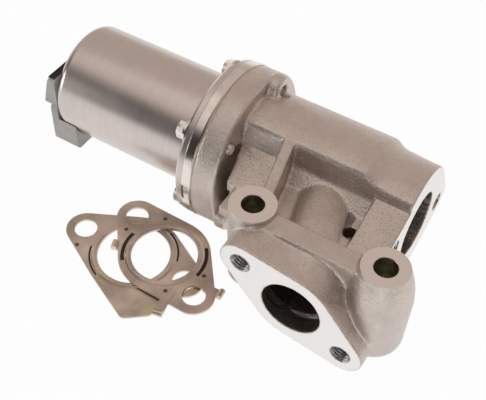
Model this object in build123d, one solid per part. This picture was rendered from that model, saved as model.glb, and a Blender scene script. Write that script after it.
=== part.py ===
from build123d import *
import math
import os

# EGR valve: solenoid-driven poppet valve in a cast body, with its two flange gaskets.
# Millimetres. The origin is the centre of the left mounting boss, on its machined top face.
# +X runs along the valve axis to the outlet, -Y is the side of the inlet flange, +Z is up the bosses.

# Valve axis, parallel to X
valve_y = 44.8
valve_z = -24.2

# Mounting bosses, bored along Z
boss_pitch = 54.7
boss_radius = 9.35
boss_bore_radius = 4.5
boss_height = 42.0
boss_collar = 1.0
boss_bulge = 3.2
boss_round = 3.0
outlet_relief_y = 11.6

# Bar between the bosses
bar_drop = 3.0
bar_front = -6.0
bar_back = 3.3
bar_depth = 16.0

# Inlet flange, faces -Y
inlet_face_y = -18.3
inlet_x = 28.0
inlet_tilt = 28.9
inlet_thickness = 12.0
inlet_core_radius = 18.0
inlet_port_radius = 12.2
inlet_port_depth = 8.0
passage_angle = 12.8
passage_bore_radius = 11.6
passage_wall = 4.2

# Shared two-hole flange pattern
flange_bolt_pcd = 50.6
flange_ear_radius = 9.0
tap_radius = 3.4
tap_chamfer = 0.7
tap_depth = 13.0

# Outlet flange, faces +X
outlet_face_x = 50.5
outlet_thickness = 7.0
outlet_core_radius = 25.4
outlet_tilt = 20.0
outlet_bore_radius = 14.3

# Body tube and chamber
tube_radius = 28.7
neck_radius = 26.0
neck_start_x = 30.5
chamber_radius = 18.6
chamber_start_x = -7.0
chamber_end_x = 31.0

# Pocket in front of the tube
pocket_left_x = -4.0
pocket_right_x = 35.4
pocket_floor_z = -12.5
wall_foot_y = 32.0
wall_foot_z = -7.3
slope_foot_y = 25.3
block_top_z = -5.3
block_slope = 16.0
block_setback = 0.6
web_thickness = 5.0
rib_thickness = 4.8
rib_angle = 10.5
rib_offset = 2.3
right_rib_x = 44.0
drain_radius = 2.8
drain_x = 33.6
drain_y = 17.2

# Ring flange, adapter plate and solenoid can, stacked along -X
ring_right_x = -24.5
ring_thickness = 10.5
gasket_thickness = 0.4
plate_thickness = 4.3
plate_lip = 0.4
seal_groove_depth = 1.5
seal_groove_width = 2.0
plate_notch_width = 8.0
plate_notch_depth = 1.5
plate_notch_angle = 182.0
can_flange_thickness = 3.6
can_radius = 24.8
can_wall = 1.5
can_corner = 4.0
flange_overhang = 10.2
cavity_step = 0.8
cavity_depth = 7.5
groove_width = 5.0
groove_end_y = 36.0
groove_core_radius = 17.0

# Flange screws
screw_count = 5
screw_first_angle = 66.0
screw_radius = 2.5
screw_hole_radius = 2.75
screw_head_radius = 4.3
screw_head_height = 4.6
screw_washer_radius = 4.8
screw_washer_height = 1.2
screw_tip_stand = 1.2
lug_radius = 6.4
lug_length = 4.6

# Valve inside the casting
stem_radius = 2.5
running_clearance = 0.04
bush_radius = 5.5
seal_radius = 8.0
seal_thickness = 2.5
shield_radius = 8.5
shield_wall = 0.8
shield_length = 5.0
seat_bore_radius = 10.6
seat_length = 6.5
seat_cone = 1.2
poppet_thickness = 3.4
poppet_cap = 0.6
lift = 6.0

# Solenoid inside the can
pole_disc_thickness = 5.0
pole_core_radius = 9.4
pole_core_length = 15.0
pole_counterbore_radius = 6.4
pole_counterbore_depth = 12.0
sleeve_wall = 0.7
sleeve_gap = 0.15
armature_length = 22.0
armature_radius = 9.25
bobbin_wall = 1.3
coil_side_gap = 1.5
bobbin_flange_thickness = 1.5
winding_step = 1.2
coil_length = 44.0
washer_thickness = 4.0
can_end_room = 9.0

# Position sensor and end cap
sensor_body_radius = 12.0
sensor_body_length = 12.5
plunger_radius = 2.0
plunger_head_radius = 3.6
plunger_head_thickness = 1.6
cap_opening_radius = 16.0
cap_disc_thickness = 7.5
cap_rim_thickness = 2.5
cap_register_gap = 0.1
cap_seal_thickness = 1.5
plug_y = -9.5
plug_z = 5.0
plug_width = 27.0
plug_height = 17.0
plug_corner = 3.0
plug_wall = 1.8
plug_depth = 5.2
block_y = -15.5
block_z = -12.5
block_width = 16.0
block_height = 21.5
block_overlap = 9.5
pin_pitch = 3.4
pin_count = 5

# Springs
return_wire_radius = 0.65
return_spring_radius = 4.6
return_turns = 5
sensor_wire_radius = 0.3
sensor_spring_radius = 2.9
sensor_turns = 4

# Loose flange gaskets, lying beside the valve
kit_gasket_thickness = 1.0
kit_gasket_hole_radius = 5.0
inlet_gasket_core_radius = 20.0
inlet_gasket_ear_radius = 9.0
inlet_gasket_port_radius = 14.4
outlet_gasket_pcd = 52.4
outlet_gasket_core_radius = 20.8
outlet_gasket_ear_radius = 8.7
outlet_gasket_port_radius = 15.8
kit_bead_height = 0.5
kit_bead_width = 2.2
kit_slot_width = 1.6
tongue_corner = 3.0
inlet_gasket_x = -41.2
inlet_gasket_y = -1.7
inlet_gasket_turn = -26.7
outlet_gasket_x = -53.4
outlet_gasket_y = -7.4
outlet_gasket_turn = -0.3
kit_stack_gap = 0.3
kit_tab_width = 4.0
kit_curl_radius = 1.4

fit_gap = 0.3
stroke_reserve = 0.6
armature_gap = lift + stroke_reserve
ring_radius = can_radius + flange_overhang
plate_radius = ring_radius + plate_lip
screw_circle_radius = can_radius + flange_overhang / 2
cavity_radius = can_radius - cavity_step
ring_left_x = ring_right_x - ring_thickness
plate_right_x = ring_left_x - gasket_thickness
plate_left_x = plate_right_x - plate_thickness
can_flange_x = plate_left_x - can_flange_thickness
coil_right_x = plate_left_x - pole_disc_thickness
bobbin_flange_radius = can_radius - can_wall - coil_side_gap
winding_radius = bobbin_flange_radius - winding_step
sensor_right_x = coil_right_x - coil_length - washer_thickness
can_end_x = sensor_right_x - sensor_body_length - can_end_room
floor_z = valve_z - plate_radius
valve_axis = Axis((0, valve_y, valve_z), (1, 0, 0))


def across(x):
    """Plane square to the valve axis at x, with its origin on the axis."""
    return Plane(origin=(x, valve_y, valve_z), x_dir=(0, 1, 0), z_dir=(1, 0, 0))


def side(x):
    """Plane at x in absolute Y and Z."""
    return Plane(origin=(x, 0, 0), x_dir=(0, 1, 0), z_dir=(1, 0, 0))


def rod(x_from, x_to, radius):
    """Round bar on the valve axis."""
    return extrude(across(x_from) * Circle(radius), x_to - x_from)


def pipe(x_from, x_to, outer, inner):
    """Round tube on the valve axis."""
    return extrude(across(x_from) * (Circle(outer) - Circle(inner)), x_to - x_from)


def turned(points):
    """Solid turned about the valve axis from (x, radius) points."""
    plane = Plane(origin=(0, valve_y, valve_z), x_dir=(1, 0, 0), z_dir=(0, 0, 1))
    outline = make_face(Polyline(*points, close=True))
    return revolve(plane * outline, valve_axis)


def slab(points, x_from, x_to):
    """Solid with a (y, z) outline that runs along X."""
    return extrude(side(x_from) * make_face(Polyline(*points, close=True)), x_to - x_from)


def hull(circles):
    """Outline that wraps a set of (x, y, radius) circles like a belt."""
    edges = [Pos(x, y) * Edge.make_circle(radius) for x, y, radius in circles]
    return make_hull(edges)


def diamond(core_radius, ear_radius, pcd=flange_bolt_pcd):
    """Two-hole flange outline, with its ears on the local X axis."""
    half = pcd / 2
    return hull([(-half, 0, ear_radius), (0, 0, core_radius), (half, 0, ear_radius)])


def screw_angles():
    return [screw_first_angle + 360 / screw_count * i for i in range(screw_count)]


def around(radius, angle):
    """Point on a circle about the valve axis."""
    return Pos(radius * math.cos(math.radians(angle)), radius * math.sin(math.radians(angle)))


def inlet_plane(y):
    """Plane of the inlet flange at y, turned so that its ears lie on the local X axis."""
    tilt = math.radians(inlet_tilt)
    return Plane(origin=(inlet_x, y, valve_z), x_dir=(math.cos(tilt), 0, -math.sin(tilt)), z_dir=(0, -1, 0))


def outlet_plane(x):
    """Plane of the outlet flange at x, turned so that its ears lie on the local X axis."""
    tilt = math.radians(outlet_tilt)
    return Plane(origin=(x, valve_y, valve_z), x_dir=(0, math.cos(tilt), -math.sin(tilt)), z_dir=(1, 0, 0))


def tapped_pair(plane):
    """Two tapped bores with countersunk mouths, from a flange face inwards."""
    half = flange_bolt_pcd / 2
    mouth = tap_radius + tap_chamfer
    bores = extrude(plane * (Pos(-half, 0) * Circle(tap_radius) + Pos(half, 0) * Circle(tap_radius)), -tap_depth)
    for place in (-half, half):
        cone = plane * Pos(place, 0, -tap_chamfer / 2) * Cone(tap_radius, mouth, tap_chamfer)
        bores += cone
    return bores


def boss(x, bulge):
    """Mounting boss with a machined top that swells into the casting below it."""
    top = boss_radius
    low = top + bulge
    foot = low - 0.4
    profile = [(0, 0), (top, 0), (top, -boss_collar), (top + bulge * 0.33, -3.7), (top + bulge * 0.62, -7),
               (top + bulge * 0.85, -10.7), (low, -15.5), (foot, boss_round - boss_height),
               (foot - boss_round * 0.3, boss_round * 0.3 - boss_height), (foot - boss_round, -boss_height),
               (0, -boss_height)]
    outline = Plane(origin=(x, 0, 0), x_dir=(1, 0, 0), z_dir=(0, -1, 0)) * make_face(Polyline(*profile, close=True))
    return revolve(outline, Axis((x, 0, 0), (0, 0, 1)))


def boss_bore(x):
    """Bore through a boss."""
    return Pos(x, 0, -boss_height / 2) * Cylinder(boss_bore_radius, boss_height + 2)


def outlet_relief():
    """Cut that keeps the right boss clear of whatever is bolted to the outlet face."""
    back = outlet_relief_y + boss_radius
    return slab([(outlet_relief_y, 1), (back, 1), (back, -boss_height - 1), (outlet_relief_y, -boss_height - 1)],
                outlet_face_x, outlet_face_x + 2 * boss_radius)


def body_tube():
    """Round outer body from the ring flange to the outlet, with the neck behind the outlet flange."""
    start = ring_left_x
    outline = [(start, 0), (start, tube_radius), (neck_start_x - 1.2, tube_radius - 0.2),
               (neck_start_x, tube_radius - 0.9), (neck_start_x + 2.4, neck_radius + 0.5),
               (neck_start_x + 4.5, neck_radius), (outlet_face_x, neck_radius - 0.8), (outlet_face_x, 0)]
    return turned(outline)


def crest_point(angle):
    """Point of the tube's section at an angle about the valve axis, in absolute Y and Z."""
    return (valve_y + tube_radius * math.cos(math.radians(angle)),
            valve_z + tube_radius * math.sin(math.radians(angle)))


def pocket_space(x_from, x_to, lower_points):
    """Space in front of the tube: a steep wall under the crest, then the given (y, z) points."""
    edge = crest_point(106)
    corner = crest_point(112)
    face = (wall_foot_y + 1.4, wall_foot_z + 7)
    above = edge[1] + 12
    outline = Line((edge[0], above), edge)
    outline += ThreePointArc(edge, (corner[0] + 0.3, corner[1] - 0.3), face)
    outline += Polyline(face, *lower_points, (lower_points[-1][0], above), (edge[0], above))
    return extrude(side(x_from) * make_face(outline), x_to - x_from)


def passage(radius, y_from, y_to):
    """Round bar along the slanted inlet passage."""
    start = (inlet_x - math.tan(math.radians(passage_angle)) * (y_from - inlet_face_y), y_from, valve_z)
    direction = (-math.sin(math.radians(passage_angle)), math.cos(math.radians(passage_angle)), 0)
    length = (y_to - y_from) / math.cos(math.radians(passage_angle))
    return extrude(Plane(origin=start, x_dir=(0, 0, 1), z_dir=direction) * Circle(radius), length)


def inlet_neck():
    """Flange plate and the neck that swells from it up to the bar."""
    plate = extrude(inlet_plane(inlet_face_y) * diamond(inlet_core_radius, flange_ear_radius), -inlet_thickness)
    small = inlet_plane(inlet_face_y + 1) * diamond(inlet_core_radius - 0.4, flange_ear_radius - 0.6)
    half = flange_bolt_pcd / 2
    large = hull([(-half + 2, -1, flange_ear_radius), (-1.5, 1, inlet_core_radius + 1),
                  (half - 4, 0, flange_ear_radius - 2)])
    neck = loft([small.face(), (inlet_plane(bar_front + 2) * large).face()], ruled=True)
    root = extrude(inlet_plane(bar_front + 2) * large, -6)
    return plate + neck + root


def ring_flange():
    """Ring flange with lugs for the screws, and the groove between it and the pocket."""
    ring = rod(ring_left_x, ring_right_x, ring_radius)
    ring = chamfer(ring.edges().filter_by(GeomType.CIRCLE).group_by(Axis.X)[-1], 0.6)
    for angle in screw_angles():
        if 120 < angle < 160:
            continue
        lug = across(ring_right_x - 1) * around(screw_circle_radius, angle) * Circle(lug_radius)
        lug = extrude(lug, lug_length + 1)
        lug = chamfer(lug.edges().filter_by(GeomType.CIRCLE).group_by(Axis.X)[-1], 0.9)
        ring += lug
    return ring


def ring_groove():
    """Wedge-shaped groove behind the ring flange, widest at the front."""
    front_y = bar_back + 7
    outline = make_face(Polyline((ring_right_x, groove_end_y), (ring_right_x + groove_width, front_y),
                                 (ring_right_x + groove_width, bar_front - 4), (ring_right_x, bar_front - 4),
                                 close=True))
    groove = Pos(0, 0, floor_z) * extrude(outline, -floor_z + 10)
    return groove - rod(ring_right_x, ring_right_x + groove_width, groove_core_radius)


def side_panel():
    """Sloping panel between the ring groove and the rib."""
    left = ring_right_x
    outline = [(wall_foot_y + 1.5, wall_foot_z), (wall_foot_y, wall_foot_z), (13.6, pocket_floor_z + 0.4),
               (13.6, pocket_floor_z - web_thickness), (wall_foot_y + 1.5, pocket_floor_z - web_thickness)]
    return slab(outline, left, pocket_left_x + 1)


def crest_rib():
    """Straight rib from the left boss up to the crest."""
    top = [(8, -2.4), (12.5, -2.4), (35.0, 2.6), (38, 2.6), (38, -14), (8, -14)]
    rib = extrude(side(-rib_thickness / 2) * make_face(Polyline(*top, close=True)), rib_thickness)
    return Rot(0, 0, rib_angle) * Pos(rib_offset, 0, 0) * rib


def raised_block():
    """Sloping block between the pocket and the outlet flange, set back from the machined face."""
    back = wall_foot_y + 2
    front_y, front_z = block_front()
    outline = [(front_y + 6, front_z + 6 * math.tan(math.radians(block_slope))), (wall_foot_y, block_top_z),
               (back, block_top_z), (back, -26), (front_y + 6, -26)]
    return slab(outline, pocket_right_x, outlet_face_x - block_setback)


def block_front():
    """Front end of the block's sloping top, just inside the bar."""
    return bar_front, block_top_z - (wall_foot_y - bar_front) * math.tan(math.radians(block_slope))


def webs():
    """Floor web, bar and the stiffening ribs under them."""
    floor_depth = slope_foot_y + 4 - bar_back
    floor = slab([(bar_back - 2, pocket_floor_z), (bar_back + floor_depth, pocket_floor_z),
                  (bar_back + floor_depth, pocket_floor_z - web_thickness),
                  (bar_back - 2, pocket_floor_z - web_thickness)], pocket_left_x - 12, pocket_right_x + 1)
    bar = slab([(bar_front, -bar_drop), (bar_back, -bar_drop), (bar_back, -bar_drop - bar_depth),
                (bar_front, -bar_drop - bar_depth)], 0, boss_pitch)
    left_rib = slab([(2, -14), (22, -14), (20, -34), (2, -30)], -rib_thickness / 2, rib_thickness / 2)
    right_rib = slab([(2, -14), (24, -14), (24, -36), (2, -30)],
                     right_rib_x, right_rib_x + rib_thickness)
    return floor + bar + left_rib + right_rib


def body_casting():
    """Cast valve body with its machined faces and bores."""
    tube = body_tube()
    tube -= pocket_space(ring_right_x, pocket_right_x, [
        (wall_foot_y, wall_foot_z), (slope_foot_y, pocket_floor_z), (bar_front, pocket_floor_z)])
    block_space = pocket_space(pocket_right_x, outlet_face_x + 1, [(wall_foot_y, block_top_z), block_front()])
    tube -= block_space
    body = tube + side_panel() + webs() + raised_block() + crest_rib()
    body -= ring_groove()
    passage_outer = passage_bore_radius + passage_wall
    body += passage(passage_outer, bar_front, wall_foot_y)
    body += inlet_neck()
    body += boss(0, 0) + boss(boss_pitch, boss_bulge)
    flange = extrude(outlet_plane(outlet_face_x) * diamond(outlet_core_radius, flange_ear_radius), -outlet_thickness)
    body += flange - block_space
    body += ring_flange()

    body -= rod(chamber_start_x, chamber_end_x, chamber_radius)
    body -= rod(chamber_end_x - 1, outlet_face_x + 1, outlet_bore_radius)
    body -= passage(passage_bore_radius, inlet_face_y + inlet_port_depth - 2, valve_y)
    body -= extrude(inlet_plane(inlet_face_y) * Circle(inlet_port_radius), -inlet_port_depth)
    body -= tapped_pair(inlet_plane(inlet_face_y))
    body -= tapped_pair(outlet_plane(outlet_face_x))
    body -= boss_bore(0) + boss_bore(boss_pitch)
    body -= outlet_relief()
    body -= Pos(drain_x, drain_y, pocket_floor_z - 2) * Cylinder(drain_radius, 8)
    body -= rod(ring_left_x - 1, ring_left_x + cavity_depth, cavity_radius)
    body -= rod(ring_left_x, chamber_start_x + 1, bush_radius)
    body -= rod(ring_left_x, ring_left_x + cavity_depth + seal_thickness, seal_radius)
    body -= rod(chamber_start_x - shield_wall - 1.2, chamber_start_x + 1, shield_radius)
    for angle in screw_angles():
        hole = across(ring_left_x - 1) * around(screw_circle_radius, angle) * Circle(screw_radius)
        body -= extrude(hole, ring_thickness + lug_length + 4)
    return body


def body_gasket():
    ring = pipe(plate_right_x, ring_left_x, ring_radius - 0.4, cavity_radius + 0.5)
    return cut_screw_holes(ring, plate_right_x, gasket_thickness)


def cut_screw_holes(solid, x, length):
    """Clearance holes for the flange screws."""
    for angle in screw_angles():
        hole = across(x - 1) * around(screw_circle_radius, angle) * Circle(screw_hole_radius)
        solid -= extrude(hole, length + 2)
    return solid


def adapter_plate():
    """Steel plate with a spigot in the ring flange and a groove for the can seal."""
    spigot_length = cavity_depth - 2.5
    plate = rod(plate_left_x, plate_right_x, plate_radius)
    plate = chamfer(plate.edges().filter_by(GeomType.CIRCLE), 0.4)
    plate += rod(plate_right_x, ring_left_x + spigot_length, cavity_radius - fit_gap)
    plate -= rod(plate_left_x - 1, ring_left_x + cavity_depth, stem_radius + 1.2)
    plate -= pipe(plate_left_x - 1, plate_left_x + seal_groove_depth, can_radius + seal_groove_width - 0.1,
                  can_radius - 0.1)
    notch = Box(2 * plate_notch_depth, 4, plate_notch_width)
    plate -= Pos(plate_left_x, valve_y, valve_z) * Rot(plate_notch_angle, 0, 0) * Pos(0, plate_radius, 0) * notch
    return cut_screw_holes(plate, plate_left_x, plate_thickness)


def can_o_ring():
    """Round seal in the groove of the adapter plate."""
    centre_x = plate_left_x + seal_groove_depth / 2
    ring_centre = can_radius + seal_groove_width / 2 - 0.1
    radius = seal_groove_depth / 2 - 0.02
    steps = [math.radians(22.5 + 45 * i) for i in range(8)]
    return turned([(centre_x + radius * math.cos(a), ring_centre + radius * math.sin(a)) for a in steps])


def solenoid_can():
    """Drawn steel can with a thick rim flange and a rounded far end."""
    inner = can_radius - can_wall
    body = rod(can_end_x, plate_left_x, can_radius)
    body = fillet(body.edges().filter_by(GeomType.CIRCLE).group_by(Axis.X)[0], can_corner)
    rim = rod(can_flange_x, plate_left_x, ring_radius)
    rim = chamfer(rim.edges().filter_by(GeomType.CIRCLE).group_by(Axis.X)[0], 1.4)
    room = rod(can_end_x + can_wall, plate_left_x, inner)
    room = chamfer(room.edges().filter_by(GeomType.CIRCLE).group_by(Axis.X)[0], (can_corner - can_wall) * 0.6)
    can = body + rim - room - rod(can_end_x - 1, can_end_x + can_wall + 1, cap_opening_radius)
    return cut_screw_holes(can, can_flange_x, can_flange_thickness)


def flange_screw(angle):
    """Hexagon screw with a washer face, its tip just through the ring flange."""
    place = around(screw_circle_radius, angle)
    tip = ring_right_x + screw_tip_stand
    if not 120 < angle < 160:
        tip = ring_right_x + lug_length - 1.2
    base = across(can_flange_x) * place
    head = extrude(base * RegularPolygon(screw_head_radius, 6), -screw_head_height)
    washer = extrude(base * Circle(screw_washer_radius), -screw_washer_height)
    shank = extrude(base * Circle(screw_radius), tip - can_flange_x)
    return head + washer + shank


def valve_seat():
    """Hard seat ring pressed into the outlet bore."""
    end = chamber_end_x + seat_length
    face = seat_bore_radius + seat_cone
    return turned([(chamber_end_x, seat_bore_radius), (end - seat_cone, seat_bore_radius), (end, face),
                   (end, outlet_bore_radius), (chamber_end_x, outlet_bore_radius)])


def poppet():
    """Valve head behind the seat, with a conical sealing face."""
    cone = seat_cone * 0.7
    start = chamber_end_x + seat_length - seat_cone * 0.75
    end = start + poppet_thickness
    lip = seat_bore_radius + seat_cone * 0.25 - running_clearance
    return turned([(start - stem_radius, stem_radius), (start, stem_radius * 3), (start, lip),
                   (start + cone, lip + cone), (end, lip + cone), (end, 0), (end - poppet_cap, 0),
                   (end - poppet_cap, stem_radius)])


def stem_end_x():
    return chamber_end_x + seat_length - seat_cone * 0.75 + poppet_thickness - poppet_cap


def armature_right_x():
    return plate_left_x - pole_disc_thickness - pole_core_length - armature_gap


def valve_stem():
    """Long rod from the armature to the poppet."""
    start = armature_right_x() - armature_length + 2
    return rod(start, stem_end_x(), stem_radius)


def guide_bush():
    """Bronze bush that guides the stem in the partition."""
    return pipe(ring_left_x + cavity_depth + seal_thickness, chamber_start_x - shield_wall,
                bush_radius, stem_radius + running_clearance)


def stem_seal():
    """Scraper ring round the stem."""
    start = ring_left_x + cavity_depth
    return pipe(start, start + seal_thickness, seal_radius, stem_radius + running_clearance)


def stem_shield():
    """Thin cup that keeps soot off the bush."""
    start = chamber_start_x - shield_wall
    cup = rod(start, chamber_start_x + shield_length, shield_radius)
    cup -= rod(start + shield_wall, chamber_start_x + shield_length + 1, shield_radius - shield_wall)
    return cup - rod(start - 1, start + 2, stem_radius + 0.6)


def pole_piece():
    """Fixed pole with a counterbore for the return spring."""
    disc = rod(plate_left_x - pole_disc_thickness, plate_left_x, can_radius - can_wall - 0.05)
    core_end = plate_left_x - pole_disc_thickness - pole_core_length
    core = rod(core_end, plate_left_x, pole_core_radius)
    pole = disc + core
    pole -= rod(core_end - 1, core_end + pole_counterbore_depth, pole_counterbore_radius)
    return pole - rod(core_end - 1, plate_left_x + 1, stem_radius + 0.5)


def armature_sleeve():
    """Thin non-magnetic sleeve that the armature slides in."""
    inner = armature_radius + sleeve_gap
    return pipe(coil_right_x - coil_length - washer_thickness, coil_right_x, inner + sleeve_wall, inner)


def bobbin_bore():
    return armature_radius + sleeve_gap + sleeve_wall


def coil_bobbin():
    """Moulded spool for the winding."""
    right = coil_right_x
    left = right - coil_length
    inner = bobbin_bore()
    spool = rod(left, right, bobbin_flange_radius)
    spool -= pipe(left + bobbin_flange_thickness, right - bobbin_flange_thickness,
                  bobbin_flange_radius + 1, inner + bobbin_wall)
    return spool - rod(left - 1, right + 1, inner)


def coil_winding():
    """Copper winding as one closed ring."""
    right = coil_right_x - bobbin_flange_thickness
    left = coil_right_x - coil_length + bobbin_flange_thickness
    return pipe(left, right, winding_radius, bobbin_bore() + bobbin_wall)


def flux_washer():
    """Steel washer that closes the magnetic path at the far end of the coil."""
    right = coil_right_x - coil_length
    return pipe(right - washer_thickness, right, can_radius - can_wall - 0.05, bobbin_bore())


def armature():
    """Plunger of the solenoid, fixed on the stem."""
    right = armature_right_x()
    body = rod(right - armature_length, right, armature_radius)
    body = chamfer(body.edges().filter_by(GeomType.CIRCLE), 0.6)
    return body - rod(right - armature_length + 2, right + 1, stem_radius)


def helix_spring(x_from, x_to, mean_radius, wire_radius, turns):
    """Round-wire compression spring along the valve axis, its ends resting on two faces."""
    length = x_to - x_from - 2 * wire_radius
    path = Helix(pitch=length / turns, height=length, radius=mean_radius)
    profile = Plane(origin=path @ 0, x_dir=(1, 0, 0), z_dir=path % 0) * RegularPolygon(wire_radius, 6)
    coil = sweep(profile, path=path, is_frenet=True)
    return across(x_from + wire_radius) * coil


def return_spring():
    """Spring between the pole and the armature that closes the valve."""
    core_end = plate_left_x - pole_disc_thickness - pole_core_length
    return helix_spring(armature_right_x(), core_end + pole_counterbore_depth,
                        return_spring_radius, return_wire_radius, return_turns)


def sensor_housing():
    """Moulded guide that carries the sensor board and the plunger."""
    left = sensor_right_x - sensor_body_length
    body = rod(left, sensor_right_x, sensor_body_radius)
    body -= rod(left + 2, sensor_right_x + 1, bobbin_bore() - 3)
    slot = slab([(valve_y - 4, valve_z + 7.2), (valve_y + 4, valve_z + 7.2), (valve_y + 4, valve_z + 8.9),
                 (valve_y - 4, valve_z + 8.9)], left, sensor_right_x)
    return body - slot


def sensor_board():
    """Small board with the resistor track."""
    left = sensor_right_x - sensor_body_length
    return slab([(valve_y - 3.7, valve_z + 7.5), (valve_y + 3.7, valve_z + 7.5), (valve_y + 3.7, valve_z + 8.7),
                 (valve_y - 3.7, valve_z + 8.7)], left, sensor_right_x - 0.5)


def plunger_left_x():
    return sensor_right_x - 2.5


def sensor_plunger():
    """Rod that follows the armature."""
    armature_left = armature_right_x() - armature_length
    stem = rod(plunger_left_x(), armature_left, plunger_radius)
    return stem + rod(plunger_left_x(), plunger_left_x() + plunger_head_thickness, plunger_head_radius)


def sensor_spring():
    """Light spring that keeps the plunger on the armature."""
    floor = sensor_right_x - sensor_body_length + 2
    return helix_spring(floor, plunger_left_x(), sensor_spring_radius, sensor_wire_radius, sensor_turns)


def socket_outline(inset):
    """Rounded outline of the plug housing, offset inwards by the inset."""
    width = plug_width - 2 * inset
    height = plug_height - 2 * inset
    return Pos(plug_y, plug_z) * RectangleRounded(width, height, plug_corner - inset * 0.8)


def end_cap():
    """Moulded cap on the far end: plug housing, register in the can opening and a block beside the can."""
    right = can_end_x
    left = right - cap_disc_thickness
    cap = extrude(across(left) * socket_outline(0), cap_disc_thickness)
    cap += rod(right - cap_rim_thickness, right, cap_opening_radius + 2)
    cap += rod(right, right + can_wall + cap_seal_thickness, cap_opening_radius - cap_register_gap)
    block = Pos(block_y, block_z) * RectangleRounded(block_width, block_height, plug_corner * 0.8)
    block = extrude(across(left + cap_disc_thickness / 2) * block, cap_disc_thickness / 2 + block_overlap)
    cap += block - rod(right, right + block_overlap + 1, can_radius + fit_gap)
    cap -= extrude(across(left - 1) * socket_outline(plug_wall), plug_depth + 1)
    for pin in terminal_pins():
        cap -= pin
    return cap


def terminal_pins():
    """Flat pins in the base of the plug housing."""
    start = can_end_x - cap_disc_thickness + 1.2
    length = cap_disc_thickness - 1.2
    pins = []
    for i in range(pin_count):
        place = plug_y + pin_pitch * (i - (pin_count - 1) / 2)
        pins.append(extrude(across(start) * (Pos(place, plug_z) * Rectangle(0.8, 1.6)), length))
    return pins


def connector_terminals():
    return Compound(children=terminal_pins())


def cap_seal():
    """Seal between the cap and the can end."""
    start = can_end_x + can_wall
    return pipe(start, start + cap_seal_thickness, cap_opening_radius + 1.6, cap_opening_radius - cap_register_gap)


def kit_gasket(core_radius, ear_radius, port_radius, pcd):
    """Pressed steel flange gasket with a rounded bead, lying on the local XY plane."""
    half = pcd / 2
    sheet = extrude(diamond(core_radius, ear_radius, pcd), kit_gasket_thickness)
    sheet -= Cylinder(port_radius, 4)
    for place in (-half, half):
        sheet -= Pos(place, 0, 0) * Cylinder(kit_gasket_hole_radius, 4)
    for start in (200, 20):
        sheet -= arc_slot(port_radius + kit_bead_width + kit_slot_width, kit_slot_width / 2, start, 50)
    inner = port_radius + 0.6
    top = kit_gasket_thickness
    crown = top + kit_bead_height
    bead = [(inner, 0, top - 0.2), (inner, 0, top), (inner + kit_bead_width * 0.3, 0, crown),
            (inner + kit_bead_width * 0.7, 0, crown), (inner + kit_bead_width, 0, top),
            (inner + kit_bead_width, 0, top - 0.2)]
    return sheet + revolve(make_face(Polyline(*bead, close=True)), Axis.Z)


def arc_slot(radius, half_width, start, sweep_angle):
    """Narrow slot that follows a circle, cut through a gasket."""
    line = CenterArc((0, 0), radius, start, sweep_angle)
    return extrude(trace(line, 2 * half_width), 4, both=True)


def retaining_tab(x, y, heading, length):
    """Narrow strip that leaves the gasket edge and ends in a curl."""
    strip = Pos(length / 2, 0, kit_gasket_thickness / 2) * Box(length, kit_tab_width, kit_gasket_thickness)
    curl = Rot(90, 0, 0) * Cylinder(kit_curl_radius, kit_tab_width)
    return Pos(x, y, 0) * Rot(0, 0, heading) * (strip + Pos(length, 0, kit_curl_radius) * curl)


def inlet_gasket():
    """Upper gasket, with curled tabs that grip the bolts."""
    height = floor_z + kit_gasket_thickness + kit_bead_height + kit_stack_gap
    rim = inlet_gasket_core_radius
    sheet = kit_gasket(rim, inlet_gasket_ear_radius, inlet_gasket_port_radius, flange_bolt_pcd)
    tabs = ((rim, -rim / 2, -52, rim * 0.45), (rim * 1.2, rim * 0.3, 30, rim * 0.38),
            (-rim * 0.66, -rim * 0.7, -133, rim * 0.15))
    for x, y, heading, length in tabs:
        sheet += retaining_tab(x, y, heading, length)
    return Pos(inlet_gasket_x, inlet_gasket_y, height) * Rot(0, 0, inlet_gasket_turn) * sheet


def outlet_gasket():
    """Lower gasket, with a flat handling tongue."""
    rim = outlet_gasket_core_radius
    outline = hull([(0, 0, rim), (rim * 0.71, -rim * 1.27, tongue_corner), (rim * 1.04, -rim, tongue_corner)])
    tongue = extrude(outline, kit_gasket_thickness)
    tongue -= Cylinder(outlet_gasket_port_radius + kit_bead_width + kit_slot_width, 4)
    sheet = kit_gasket(rim, outlet_gasket_ear_radius, outlet_gasket_port_radius, outlet_gasket_pcd)
    return Pos(outlet_gasket_x, outlet_gasket_y, floor_z) * Rot(0, 0, outlet_gasket_turn) * (sheet + tongue)


def save(name, shape):
    export_step(shape, "parts/" + name + ".step")


def build():
    os.makedirs("parts", exist_ok=True)
    save("body_casting", body_casting())
    save("body_gasket", body_gasket())
    save("adapter_plate", adapter_plate())
    save("can_o_ring", can_o_ring())
    save("solenoid_can", solenoid_can())
    save("flange_screws", Compound(children=[flange_screw(angle) for angle in screw_angles()]))
    save("valve_seat", valve_seat())
    save("poppet", poppet())
    save("valve_stem", valve_stem())
    save("guide_bush", guide_bush())
    save("stem_seal", stem_seal())
    save("stem_shield", stem_shield())
    save("pole_piece", pole_piece())
    save("armature_sleeve", armature_sleeve())
    save("coil_bobbin", coil_bobbin())
    save("coil_winding", coil_winding())
    save("flux_washer", flux_washer())
    save("armature", armature())
    save("return_spring", return_spring())
    save("sensor_housing", sensor_housing())
    save("sensor_board", sensor_board())
    save("sensor_plunger", sensor_plunger())
    save("sensor_spring", sensor_spring())
    save("end_cap", end_cap())
    save("connector_terminals", connector_terminals())
    save("cap_seal", cap_seal())
    save("inlet_gasket", inlet_gasket())
    save("outlet_gasket", outlet_gasket())


build()
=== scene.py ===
"""Looks of an exhaust gas recirculation valve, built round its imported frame."""

import math

import bpy
import numpy as np
from mathutils import Matrix, Vector


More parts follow.
